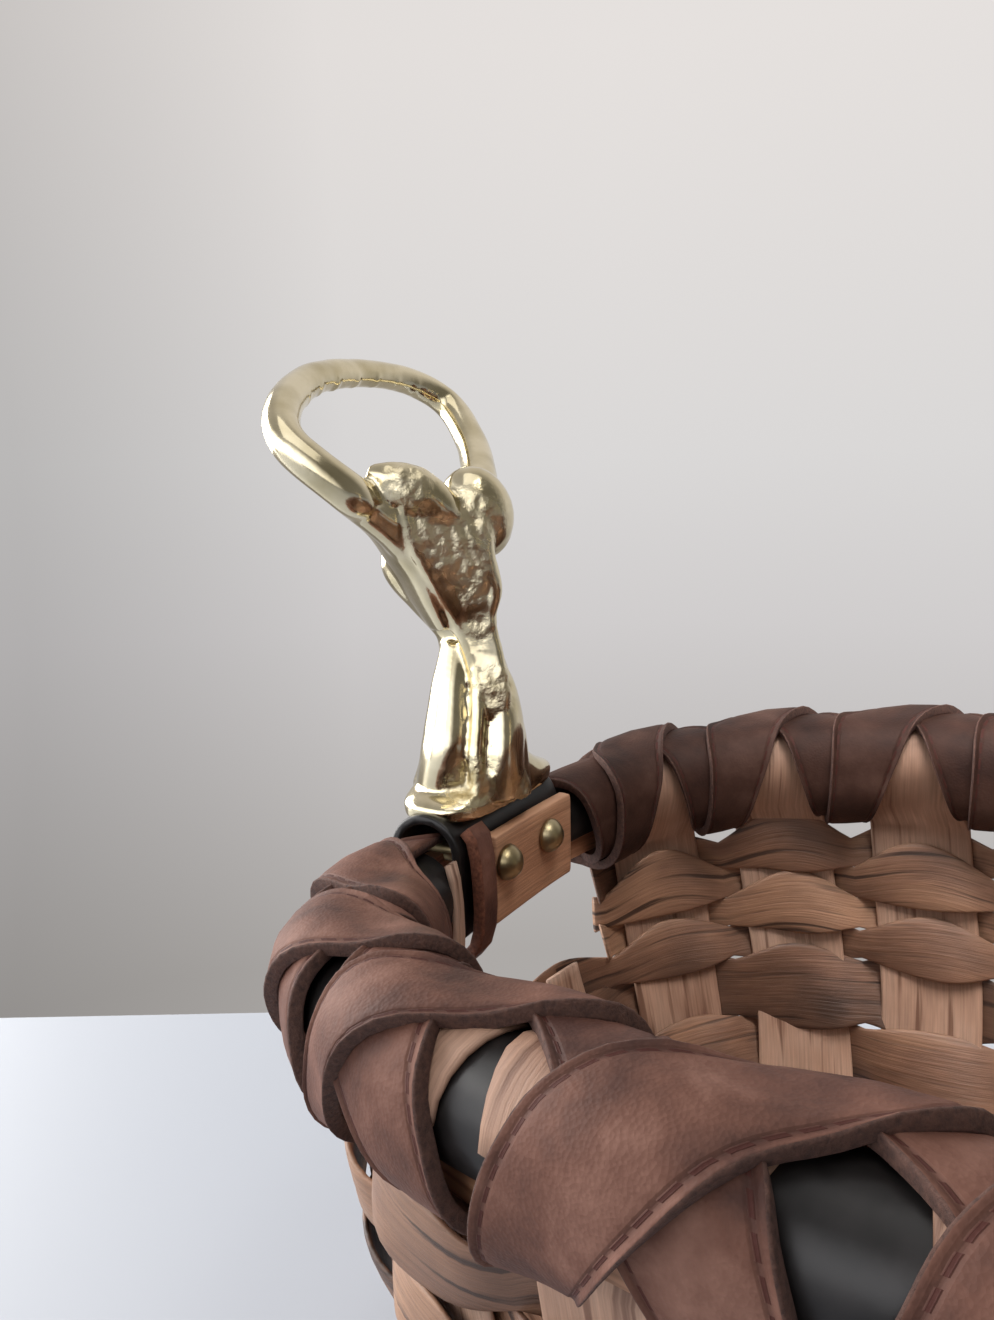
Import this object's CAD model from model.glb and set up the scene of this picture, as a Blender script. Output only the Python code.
import bisect
import math
import bmesh
import bpy
from mathutils import Matrix, Vector, noise


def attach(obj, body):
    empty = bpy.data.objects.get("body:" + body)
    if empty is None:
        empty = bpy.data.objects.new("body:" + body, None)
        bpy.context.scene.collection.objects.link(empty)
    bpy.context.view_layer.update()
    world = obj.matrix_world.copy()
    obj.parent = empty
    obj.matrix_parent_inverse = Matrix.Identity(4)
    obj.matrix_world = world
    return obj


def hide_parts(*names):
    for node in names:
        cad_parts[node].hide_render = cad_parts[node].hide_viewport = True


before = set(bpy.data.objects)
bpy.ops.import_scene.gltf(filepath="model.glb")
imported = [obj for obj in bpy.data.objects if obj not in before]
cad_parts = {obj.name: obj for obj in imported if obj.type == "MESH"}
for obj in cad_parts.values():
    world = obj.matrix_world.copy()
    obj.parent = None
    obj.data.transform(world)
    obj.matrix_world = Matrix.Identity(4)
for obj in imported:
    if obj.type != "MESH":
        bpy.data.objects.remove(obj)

for name in ("Cube", "Light", "Camera"):
    if name in bpy.data.objects:
        bpy.data.objects.remove(bpy.data.objects[name])
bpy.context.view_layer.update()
print("frame loaded:", len(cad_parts), "nodes")

weld = 0.0000002  # points nearer than this are one
nudge = 0.01  # small step along a curve, to find its direction

# plan of the rim and the wall, in metres
rim = {"halfLength": 0.1675, "halfWidth": 0.1075, "squareness": 3.0, "height": 0.132, "sideRise": 0.0138,
       "seatShift": 0.004, "endGap": 0.064, "half": 11, "samples": 2880, "step": 0.004}
base = {"halfLength": 0.120, "halfWidth": 0.070, "level": 0.0022, "endPitch": 0.030, "sidePitch": 0.033,
        "curve": 2.1, "sway": 0.020, "swing": 0.0017}


def signedPower(value, power):
    return math.copysign(abs(value) ** power, value)


def smooth(low, high, value):
    t = min(max((value - low) / (high - low), 0.0), 1.0)
    return t * t * (3 - 2 * t)


rimSpots, rimRuns = [], []
for k in range(rim["samples"] + 1):
    turn = math.tau * k / rim["samples"]
    spot = Vector((-rim["halfLength"] * signedPower(math.cos(turn), 2 / rim["squareness"]),
                   rim["halfWidth"] * signedPower(math.sin(turn), 2 / rim["squareness"]), 0))
    rimRuns.append(rimRuns[-1] + (spot - rimSpots[-1]).length if rimSpots else 0.0)
    rimSpots.append(spot)
rimLength = rimRuns[-1]
halfRim = rimLength / 2
pitch = (halfRim - rim["endGap"]) / (rim["half"] - 1)


def rimPoint(run):
    run = run % rimLength
    slot = min(bisect.bisect_right(rimRuns, run), rim["samples"])
    share = (run - rimRuns[slot - 1]) / (rimRuns[slot] - rimRuns[slot - 1])
    spot = rimSpots[slot - 1].lerp(rimSpots[slot], share)
    spot.z = rim["height"] + rim["sideRise"] * (abs(spot.y) / rim["halfWidth"]) ** rim["squareness"]
    return spot


# a run is a distance round the rim from the middle of the left end
def rimFrame(run):
    along = (rimPoint(run + rim["step"]) - rimPoint(run - rim["step"])).normalized()
    outward = Vector((-along.y, along.x, 0)).normalized()
    return rimPoint(run), along, outward


# an index counts the uprights round the rim, with fractions between them
def uprightRun(index):
    half = math.floor(index / rim["half"])
    rest = index - half * rim["half"]
    run = half * halfRim + rim["endGap"] / 2 + rim["seatShift"] + min(rest, rim["half"] - 1) * pitch
    return run + max(rest - rim["half"] + 1, 0) * rim["endGap"]


# where the uprights leave the base: two at an end, seven along a side and two at the other end
baseSpots = []
for side in (1, -1):
    for k in range(rim["half"]):
        if k < 2:
            spot = Vector((-base["halfLength"], (k + 0.5) * base["endPitch"], 0))
        elif k < 9:
            spot = Vector(((k - 5) * base["sidePitch"], base["halfWidth"], 0))
        else:
            spot = Vector((base["halfLength"], (10.5 - k) * base["endPitch"], 0))
        baseSpots.append(spot * side)


def baseSpot(index):
    start = math.floor(index)
    t = index - start
    a, b, c, d = [baseSpots[(start + k) % len(baseSpots)] for k in (-1, 0, 1, 2)]
    curve = (a * 2 - b * 5 + c * 4 - d) * t * t + (b * 3 - a - c * 3 + d) * t ** 3
    return (b * 2 + (c - a) * t + curve) * 0.5


wallDrop = rim["height"] - base["level"]


# a share is 0 at the rim and 1 at the base
def wallSpot(index, share):
    sunk = max(share, 0)
    run = uprightRun(index)
    top = rimPoint(run + base["sway"] * sunk * math.sin(math.tau * run / halfRim))
    foot = baseSpot(index)
    draw = sunk ** base["curve"]
    return Vector((top.x + (foot.x - top.x) * draw, top.y + (foot.y - top.y) * draw,
                   top.z * (1 - share) + base["level"] * share))


def wallFrame(index, share):
    along = (wallSpot(index + nudge, share) - wallSpot(index - nudge, share)).normalized()
    down = (wallSpot(index, share + nudge) - wallSpot(index, share - nudge)).normalized()
    return wallSpot(index, share), along, down, along.cross(down).normalized()


# a spot on the wall some way to the side of an upright's middle
def besideUpright(index, share, distance):
    step = math.copysign(0.1, distance)
    gap = (wallSpot(index, share) - wallSpot(index + step, share)).length
    return wallSpot(index + distance / gap * abs(step), share)


# a cosine with flattened tops
def wave(phase, sharpness):
    return math.tanh(sharpness * math.cos(phase)) / math.tanh(sharpness)


def wobble(x, seed, scale):
    return noise.noise(Vector((x * scale, seed * 7.31, seed * 1.7)))


# outline of a strip: a rounded oblong, as shares of its half width and half thickness
def flatOutline(count, squareness):
    outline = []
    for k in range(count):
        turn = math.tau * k / count
        outline.append((signedPower(math.cos(turn), 2 / squareness),
                        signedPower(math.sin(turn), 2 / squareness)))
    return outline


def addPiece(name, mesh, replaced, material):
    piece = bpy.data.objects.new(name, mesh)
    bpy.context.scene.collection.objects.link(piece)
    for entry in material if isinstance(material, (list, tuple)) else [material]:
        mesh.materials.append(entry)
    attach(piece, "root")
    if replaced:
        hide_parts(*replaced)
    return piece


# a grid wrapped round the outline; a section is its middle, the way to its right edge, its sag and its
# thickness way, and edgeFrom is the share of the half width where the cut edge starts
def stripMesh(name, sections, outline, closed=False, tone=0.5, edgeFrom=None):
    bm = bmesh.new()
    around = len(outline)
    steps = len(sections) if closed else len(sections) - 1
    bmesh.ops.create_grid(bm, x_segments=steps, y_segments=around, size=0.5)
    runs = [0.0]
    for k in range(steps):
        runs.append(runs[-1] + (sections[(k + 1) % len(sections)][0] - sections[k][0]).length)
    uvLayer = bm.loops.layers.uv.new("UVMap")
    toneLayer = bm.verts.layers.float.new("tone")
    acrossLayer = bm.verts.layers.float.new("across")
    for face in bm.faces:
        reach = 0.0
        for loop in face.loops:
            i = round((loop.vert.co.x + 0.5) * steps)
            j = round((loop.vert.co.y + 0.5) * around)
            s = outline[j % around][0]
            loop[uvLayer].uv = (runs[i], s * sections[i % len(sections)][1].length)
            reach += abs(s) / 4
        if edgeFrom is not None and reach > edgeFrom:
            face.material_index = 1
        face.smooth = True
    for vert in bm.verts:
        i = round((vert.co.x + 0.5) * steps) % len(sections)
        s, t = outline[round((vert.co.y + 0.5) * around) % around]
        middle, side, sag, skin = sections[i]
        vert.co = middle + side * s + sag * (s * s) + skin * t
        vert[toneLayer] = tone
        vert[acrossLayer] = s
    bmesh.ops.remove_doubles(bm, verts=bm.verts, dist=weld)
    if not closed:
        rimEdges = [edge for edge in bm.edges if edge.is_boundary]
        caps = bmesh.ops.holes_fill(bm, edges=rimEdges, sides=0)
        for face in caps["faces"]:
            face.material_index = 1 if edgeFrom is not None else 0
    bmesh.ops.recalc_face_normals(bm, faces=bm.faces)
    mesh = bpy.data.meshes.new(name)
    bm.to_mesh(mesh)
    bm.free()
    return mesh


# materials: make adds a node, with links as sockets to join or values to set
def nodeMaker(tree):
    def make(kind, links=None, **values):
        node = tree.nodes.new(kind)
        for key, value in values.items():
            setattr(node, key, value)
        for key, source in (links or {}).items():
            socket = node.inputs[key]
            if isinstance(source, bpy.types.NodeSocket):
                tree.links.new(source, socket)
            else:
                socket.default_value = source
        return node
    return make


def newMaterial(name):
    material = bpy.data.materials.new(name)
    material.use_nodes = True
    material.node_tree.nodes.clear()
    return material, nodeMaker(material.node_tree)


def finishMaterial(material, make, links):
    shader = make("ShaderNodeBsdfPrincipled", links)
    make("ShaderNodeOutputMaterial", {"Surface": shader.outputs[0]})
    return material


def ramp(make, source, stops):
    node = make("ShaderNodeValToRGB", {"Fac": source})
    while len(node.color_ramp.elements) < len(stops):
        node.color_ramp.elements.new(0.5)
    for element, (place, colour) in zip(node.color_ramp.elements, stops):
        element.position = place
        element.color = (*colour, 1)
    return node.outputs["Color"]


def grey(value):
    return (value, value, value)


# white up to the first place, black from the second
def fadeOut(make, source, places):
    return ramp(make, source, [(places[0], grey(1.0)), (places[1], grey(0.0))])


def mathNode(make, operation, *values):
    return make("ShaderNodeMath", dict(enumerate(values)), operation=operation).outputs[0]


def mixNode(make, share, first, second, blend="MIX"):
    links = {"Factor": share, 6: first, 7: second}
    return make("ShaderNodeMix", links, data_type="RGBA", blend_type=blend).outputs[2]


def rangeNode(make, value, low, high, toLow=0.0, toHigh=1.0):
    links = {"Value": value, "From Min": low, "From Max": high, "To Min": toLow, "To Max": toHigh}
    return make("ShaderNodeMapRange", links).outputs[0]


def noiseNode(make, place, scale, detail, rough=0.5):
    links = {"Vector": place, "Scale": scale, "Detail": detail, "Roughness": rough}
    return make("ShaderNodeTexNoise", links).outputs["Fac"]


def bumpNode(make, strength, depth, height):
    return make("ShaderNodeBump", {"Strength": strength, "Distance": depth, "Height": height}).outputs[0]


def attributeNode(make, name, output="Fac"):
    return make("ShaderNodeAttribute", attribute_name=name).outputs[output]


def objectPlace(make):
    return make("ShaderNodeTexCoord").outputs["Object"]


# grain that runs along a strip's length, for every split wood: scale, detail and roughness
grainFields = {"Fine": ((45, 1500, 1), 5.0, 0.62), "Lines": ((14, 330, 1), 3.0, 0.5),
               "Patches": ((28, 55, 1), 3.0, 0.55)}


def makeGrainGroup():
    group = bpy.data.node_groups.new("strip grain", "ShaderNodeTree")
    group.interface.new_socket("Seed", in_out="INPUT", socket_type="NodeSocketFloat")
    for name in grainFields:
        group.interface.new_socket(name, in_out="OUTPUT", socket_type="NodeSocketFloat")
    make = nodeMaker(group)
    inner = make("NodeGroupInput")
    outer = make("NodeGroupOutput")
    uv = make("ShaderNodeUVMap", uv_map="UVMap")
    shift = make("ShaderNodeCombineXYZ", {"X": inner.outputs["Seed"], "Y": inner.outputs["Seed"]})
    placed = make("ShaderNodeVectorMath", {0: uv.outputs["UV"], 1: shift.outputs[0]}, operation="ADD")
    for name, (scale, detail, rough) in grainFields.items():
        mapped = make("ShaderNodeMapping", {"Vector": placed.outputs[0], "Scale": scale})
        cloud = make("ShaderNodeTexNoise", {"Vector": mapped.outputs[0], "Scale": 1.0, "Detail": detail,
                                            "Roughness": rough}, noise_dimensions="2D")
        group.links.new(cloud.outputs["Fac"], outer.inputs[name])
    return group


grainGroup = makeGrainGroup()
stripWood = {"seedScale": 37.0, "patchSpread": 0.28, "fineRange": (0.78, 1.12), "lineFade": (0.30, 0.40),
             "bump": 0.45}


def makeStripWood(name, look):
    material, make = newMaterial(name)
    tone = attributeNode(make, "tone")
    seed = mathNode(make, "MULTIPLY", tone, stripWood["seedScale"])
    grain = make("ShaderNodeGroup", {"Seed": seed}, node_tree=grainGroup).outputs
    spread = stripWood["patchSpread"]
    patches = rangeNode(make, grain["Patches"], 0.25, 0.75, -spread, spread)
    colour = ramp(make, mathNode(make, "ADD", tone, patches), look["stops"])
    fine = rangeNode(make, grain["Fine"], 0.3, 0.7, *stripWood["fineRange"])
    fined = mixNode(make, 1.0, colour, fine, "MULTIPLY")
    lines = fadeOut(make, grain["Lines"], stripWood["lineFade"])
    lined = mixNode(make, mathNode(make, "MULTIPLY", lines, look["lineDepth"]), fined, (*look["dark"], 1))
    height = mathNode(make, "ADD", grain["Fine"], grain["Lines"])
    bump = bumpNode(make, stripWood["bump"], look["bumpDepth"], height)
    return finishMaterial(material, make, {"Base Color": lined, "Roughness": look["roughness"],
                                           "Normal": bump})


splintWood = makeStripWood("splintWood", {
    "stops": [(0.0, (0.265, 0.140, 0.090)), (0.5, (0.425, 0.256, 0.178)), (1.0, (0.53, 0.358, 0.270))],
    "dark": (0.14, 0.062, 0.036), "lineDepth": 0.85, "roughness": 0.6, "bumpDepth": 0.0005})
weaverWood = makeStripWood("weaverWood", {
    "stops": [(0.0, (0.065, 0.034, 0.023)), (0.5, (0.205, 0.104, 0.064)), (1.0, (0.40, 0.222, 0.134))],
    "dark": (0.030, 0.014, 0.009), "lineDepth": 0.9, "roughness": 0.5, "bumpDepth": 0.0005})
cleatWood = makeStripWood("cleatWood", {
    "stops": [(0.0, (0.36, 0.17, 0.095)), (0.5, (0.52, 0.27, 0.155)), (1.0, (0.62, 0.36, 0.22))],
    "dark": (0.22, 0.09, 0.045), "lineDepth": 0.45, "roughness": 0.6, "bumpDepth": 0.0004})

cover = {"stops": [(0.35, (0.007, 0.006, 0.006)), (0.75, (0.022, 0.019, 0.019))], "cloudScale": 160.0,
         "roughness": (0.28, 0.42), "shine": 0.32, "bump": 0.15, "bumpDepth": 0.0004}


def makeBlackCover():
    material, make = newMaterial("blackCover")
    cloud = noiseNode(make, objectPlace(make), cover["cloudScale"], 6.0)
    rubbed = ramp(make, cloud, cover["stops"])
    rough = rangeNode(make, cloud, 0, 1, *cover["roughness"])
    bump = bumpNode(make, cover["bump"], cover["bumpDepth"], cloud)
    return finishMaterial(material, make, {"Base Color": rubbed, "Roughness": rough,
                                           "Specular IOR Level": cover["shine"], "Normal": bump})


blackCover = makeBlackCover()

hoopWood = {"stops": [(0.3, (0.27, 0.125, 0.065)), (0.55, (0.50, 0.255, 0.145)), (0.8, (0.60, 0.34, 0.21))],
            "grainScale": (60, 60, 900), "roughness": 0.55, "bump": 0.3, "bumpDepth": 0.0004}


def makeRimWood():
    material, make = newMaterial("rimWood")
    mapped = make("ShaderNodeMapping", {"Vector": objectPlace(make), "Scale": hoopWood["grainScale"]})
    cloud = noiseNode(make, mapped.outputs[0], 1.0, 5.0)
    bump = bumpNode(make, hoopWood["bump"], hoopWood["bumpDepth"], cloud)
    return finishMaterial(material, make, {"Base Color": ramp(make, cloud, hoopWood["stops"]),
                                           "Roughness": hoopWood["roughness"], "Normal": bump})


rimWood = makeRimWood()

# the seam lies at a share of the half width, and its stitches are counted along the strap
leather = {"stops": [(0.33, (0.075, 0.034, 0.027)), (0.52, (0.178, 0.081, 0.058)),
                     (0.70, (0.31, 0.160, 0.120))],
           "cloudScale": 55.0, "poreScale": 1500.0, "poreDepth": 0.3, "seam": 0.83,
           "grooveFade": (0.012, 0.07),
           "grooveColour": (0.05, 0.022, 0.018, 1), "grooveDark": 0.45, "threadFade": (0.020, 0.034),
           "threadColour": (0.062, 0.018, 0.014, 1), "threadDark": 0.85, "stitchesPerMetre": 250.0,
           "stitchShare": 0.68, "roughness": (0.52, 0.72), "shine": 0.16, "bump": 0.5, "bumpDepth": 0.0005}


def makeLeather():
    material, make = newMaterial("lacedLeather")
    place = objectPlace(make)
    cloud = noiseNode(make, place, leather["cloudScale"], 7.0, 0.6)
    worn = ramp(make, cloud, leather["stops"])
    toned = mixNode(make, 1.0, worn, attributeNode(make, "tone", "Color"), "MULTIPLY")
    # a groove along both edges with a dashed thread in it
    edge = mathNode(make, "ABSOLUTE", attributeNode(make, "across"))
    fromSeam = mathNode(make, "ABSOLUTE", mathNode(make, "SUBTRACT", edge, leather["seam"]))
    groove = fadeOut(make, fromSeam, leather["grooveFade"])
    thread = fadeOut(make, fromSeam, leather["threadFade"])
    uv = make("ShaderNodeUVMap", uv_map="UVMap").outputs["UV"]
    along = make("ShaderNodeSeparateXYZ", {0: uv}).outputs[0]
    beat = mathNode(make, "FRACT", mathNode(make, "MULTIPLY", along, leather["stitchesPerMetre"]))
    stitch = mathNode(make, "MULTIPLY", thread, mathNode(make, "LESS_THAN", beat, leather["stitchShare"]))
    grooveShare = mathNode(make, "MULTIPLY", groove, leather["grooveDark"])
    grooved = mixNode(make, grooveShare, toned, leather["grooveColour"])
    threadShare = mathNode(make, "MULTIPLY", stitch, leather["threadDark"])
    threaded = mixNode(make, threadShare, grooved, leather["threadColour"])
    pores = make("ShaderNodeTexVoronoi", {"Vector": place, "Scale": leather["poreScale"]}).outputs["Distance"]
    height = mathNode(make, "ADD", mathNode(make, "SUBTRACT", stitch, groove),
                      mathNode(make, "MULTIPLY", pores, leather["poreDepth"]))
    return finishMaterial(material, make, {
        "Base Color": threaded, "Roughness": rangeNode(make, cloud, 0, 1, *leather["roughness"]),
        "Specular IOR Level": leather["shine"],
        "Normal": bumpNode(make, leather["bump"], leather["bumpDepth"], height)})


cutEdge = {"cloudScale": 900.0, "roughness": 0.85, "bump": 0.8, "bumpDepth": 0.0006}


def makeCutEdge(name, dark, pale):
    material, make = newMaterial(name)
    cloud = noiseNode(make, objectPlace(make), cutEdge["cloudScale"], 6.0, 0.7)
    bump = bumpNode(make, cutEdge["bump"], cutEdge["bumpDepth"], cloud)
    return finishMaterial(material, make, {"Base Color": ramp(make, cloud, [(0.3, dark), (0.7, pale)]),
                                           "Roughness": cutEdge["roughness"], "Normal": bump})


lacedLeather = makeLeather()
rawEdge = makeCutEdge("rawLeatherEdge", (0.040, 0.018, 0.014), (0.13, 0.062, 0.045))
freshEdge = makeCutEdge("freshLeatherEdge", (0.07, 0.022, 0.012), (0.26, 0.092, 0.05))

casting = {"cloudScale": 90.0, "bump": 0.10, "bumpDepth": 0.0006, "speckScale": 1100.0, "grainDull": 0.26,
           "grainBump": 0.40, "grainDepth": 0.0008}


def makeBrass(name, stops, roughness):
    material, make = newMaterial(name)
    place = objectPlace(make)
    cloud = noiseNode(make, place, casting["cloudScale"], 6.0)
    rough = rangeNode(make, cloud, 0, 1, *roughness)
    # the rough areas of the casting are duller and pitted
    grain = attributeNode(make, "grain")
    dulled = mathNode(make, "MULTIPLY_ADD", grain, casting["grainDull"], rough)
    pitted = mathNode(make, "MULTIPLY", noiseNode(make, place, casting["speckScale"], 3.0), grain)
    bump = bumpNode(make, casting["bump"], casting["bumpDepth"], cloud)
    grainBump = make("ShaderNodeBump", {"Strength": casting["grainBump"], "Distance": casting["grainDepth"],
                                        "Height": pitted, "Normal": bump})
    return finishMaterial(material, make, {"Base Color": ramp(make, cloud, stops), "Metallic": 1.0,
                                           "Roughness": dulled, "Normal": grainBump.outputs[0]})


brass = makeBrass("brass", [(0.3, (0.50, 0.43, 0.26)), (0.6, (0.72, 0.64, 0.45))], (0.09, 0.20))
dullBrass = makeBrass("dullBrass", [(0.3, (0.24, 0.19, 0.10)), (0.6, (0.36, 0.30, 0.18))], (0.26, 0.42))
print("materials made")


# splints: up one wall, across the plaited base, up the other wall
splint = {"width": 0.028, "thick": 0.0016, "stubWidth": 0.014, "stubDepth": 0.043, "lowShare": 0.94,
          "bendRoom": 0.005, "wallSteps": 30, "widthWander": 0.05, "drift": 0.0007, "cup": 0.0005,
          "toneSpread": 0.22, "plaitSharpness": 4.0}
# the top folds over the rim from the inside, in degrees; a lean is a shift along the rim and a spread
fold = {"depth": 0.016, "root": (-0.0076, -0.009), "radius": 0.0113, "centre": 0.003, "start": -20,
        "end": 145, "nearExtra": 28, "steps": 11, "taper": 0.25,
        "leans": {17: (-0.013, 1.0), 18: (-0.007, 1.6), 19: (-0.012, 1.0), 20: (-0.006, 1.0)}}
woodOutline = flatOutline(20, 4.5)


# the way a path of outward and upward distances faces at one of its spots
def pathFacing(path, k, outward):
    before, after = path[max(k - 1, 0)], path[min(k + 1, len(path) - 1)]
    climb = Vector((after[0] - before[0], after[1] - before[1])).normalized()
    return outward * climb.y - Vector((0, 0, climb.x))


def foldSections(index):
    spots = [fold["root"]]
    sweep = fold["end"] - fold["start"] + fold["nearExtra"] * (index > 12)
    for k in range(fold["steps"] + 1):
        turn = math.radians(fold["start"] + sweep * k / fold["steps"])
        spots.append((-fold["radius"] * math.cos(turn), fold["centre"] + fold["radius"] * math.sin(turn)))
    sections = []
    lean, spread = fold["leans"].get(index, (0.0, 1.0))
    for k, (out, rise) in enumerate(spots):
        run = uprightRun(index) + lean * smooth(0, 7, k)
        trim = (1.0 - fold["taper"] * smooth(4, 12, k)) * (1 + (spread - 1) * smooth(2, 8, k))
        edges = []
        for side in (-0.5, 0, 0.5):
            spot, along, outward = rimFrame(run + side * splint["width"] * trim)
            edges.append(spot + outward * out + Vector((0, 0, rise)))
        sections.append((edges, pathFacing(spots, k, rimFrame(run)[2])))
    return sections[::-1]


def wallSections(index, cut, seed):
    sections = [] if cut else foldSections(index)
    top = (splint["stubDepth"] if cut else fold["depth"]) / wallDrop
    for k in range(splint["wallSteps"] + 1):
        share = top + (splint["lowShare"] - top) * k / splint["wallSteps"]
        width = splint["width"] * (1 + splint["widthWander"] * wobble(share, seed, 4.0))
        if cut:
            width = splint["stubWidth"] + (splint["width"] - splint["stubWidth"]) * k / splint["wallSteps"]
        middle, along, down, outward = wallFrame(index, share)
        drift = along * (splint["drift"] * wobble(share, seed + 3, 5.0))
        sections.append(([besideUpright(index, share, -width / 2) + drift, middle + drift,
                          besideUpright(index, share, width / 2) + drift], outward))
    return sections


def splintMesh(name, first, last, cut, baseLine, seed):
    raw = wallSections(first, cut, seed)
    for middle, across in baseLine:
        side = across * (splint["width"] / 2)
        raw.append(([middle - side, middle, middle + side], Vector((0, 0, -1))))
    for edges, outward in reversed(wallSections(last, cut, seed + 11)):
        raw.append((edges[::-1], outward))
    sections = []
    for k, ((left, middle, right), outward) in enumerate(raw):
        cup = outward * (splint["cup"] * wobble(k * 0.08, seed + 5, 1.0))
        sections.append((middle, (right - left) / 2, (right + left) / 2 - middle + cup,
                         outward * (splint["thick"] / 2)))
    return stripMesh(name, sections, woodOutline, tone=0.5 + splint["toneSpread"] * wobble(seed, seed, 3.7))


# height of a splint in the plait, over and under the ones that it crosses
def plaitLevel(phase, hand):
    lift = hand * base["swing"] * wave(math.pi * phase, splint["plaitSharpness"])
    return max(base["level"] + lift, splint["thick"] / 2)


for k in range(4):
    name = "splint_lengthwise_%d" % (k + 1)
    reach = base["halfLength"] - splint["bendRoom"]
    line = []
    for j in range(43):
        x = -reach + 2 * reach * j / 42
        level = plaitLevel(x / base["sidePitch"] + 3, (-1) ** k)
        line.append((Vector((x, (k - 1.5) * base["endPitch"], level)), Vector((0, 1, 0))))
    mesh = splintMesh(name, k - 2, 12 - k, 0 < k < 3, line, k + 1)
    addPiece("look_" + name, mesh, [name], splintWood)
for k in range(7):
    name = "splint_crosswise_%d" % (k + 1)
    reach = base["halfWidth"] - splint["bendRoom"]
    line = []
    for j in range(29):
        y = reach - 2 * reach * j / 28
        level = plaitLevel(y / base["endPitch"] + 1.5, -(-1) ** k)
        line.append((Vector(((k - 3) * base["sidePitch"], y, level)), Vector((1, 0, 0))))
    mesh = splintMesh(name, 2 + k, 19 - k, False, line, k + 21)
    addPiece("look_" + name, mesh, [name], splintWood)
print("splints made")

# weaver rows from the top: width, width at a crossing, swing, tone and arch
weaver = {"thick": 0.0014, "clearance": 0.0005, "firstDepth": 0.02035, "endRoom": 0.43, "splitRows": 3,
          "stepsEach": 14, "gain": 1.12, "sharpness": 1.9, "waistPower": 1.1, "breadthWander": 0.13,
          "tilt": 0.20, "tiltWander": 0.12, "sag": 0.0008, "curl": 0.0007,
          "rows": [(0.0205, 0.0082, 0.0031, 0.56, 0.0045), (0.0205, 0.0082, 0.0033, 0.70, 0.0042),
                   (0.0195, 0.0082, 0.0033, 0.82, 0.0035), (0.0185, 0.0082, 0.0028, 0.46, 0.0015),
                   (0.027, 0.017, 0.0026, 0.26, 0.0), (0.025, 0.017, 0.0028, 0.46, 0.0),
                   (0.025, 0.017, 0.0030, 0.40, 0.0), (0.012, 0.0114, 0.0039, 0.5, 0.0)]}


def weaverMesh(name, row, number, depth, first, last, seed):
    width, waist, swing, tone, arch = row
    hand = -(-1) ** number  # over or under at the first upright
    uprights = len(baseSpots)
    closed = last - first == uprights
    count = round((last - first) * weaver["stepsEach"])
    narrow = waist * weaver["gain"]
    sections = []
    for k in range(count if closed else count + 1):
        index = first + (last - first) * k / count
        middle, along, down, outward = wallFrame(index, depth / wallDrop)
        phase = math.pi * index
        out = hand * swing * weaver["gain"] * wave(phase, weaver["sharpness"])
        around = math.tau * index / uprights
        drift = Vector((math.cos(around), math.sin(around), seed * 3.1))
        breadth = narrow + (width - narrow) * abs(math.cos(phase)) ** weaver["waistPower"]
        breadth *= 1 + weaver["breadthWander"] * noise.noise(drift * 6.0)
        tilt = weaver["tilt"] * math.sin(phase) * hand + weaver["tiltWander"] * noise.noise(drift * 9.0)
        way = down * math.cos(tilt) + outward * math.sin(tilt)
        facing = outward * math.cos(tilt) - down * math.sin(tilt)
        lift = outward * out + down * (weaver["sag"] * noise.noise(drift * 5.0 + Vector((9, 2, 4))))
        lift -= down * (arch * max(-hand * math.cos(phase), 0.0))
        curl = facing * (-math.copysign(weaver["curl"], out) * abs(math.cos(phase)))
        sections.append((middle + lift, way * (breadth / 2), curl, facing * (weaver["thick"] / 2)))
    return stripMesh(name, sections, woodOutline, closed=closed, tone=tone)


depth = weaver["firstDepth"]
for k, row in enumerate(weaver["rows"]):
    depth += row[1] / 2
    if k < weaver["splitRows"]:
        spans = [("_far", weaver["endRoom"], 10 - weaver["endRoom"], k),
                 ("_near", 11 + weaver["endRoom"], 21 - weaver["endRoom"], k + 11)]
    else:
        spans = [("", 0, len(baseSpots), k + 40)]
    for label, first, last, seed in spans:
        name = "weaver_%d%s" % (k + 1, label)
        mesh = weaverMesh(name, row, k, depth, first, last, seed)
        addPiece("look_" + name, mesh, [name], weaverWood)
    depth += row[1] / 2 + weaver["clearance"]
print("weavers made")

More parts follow.
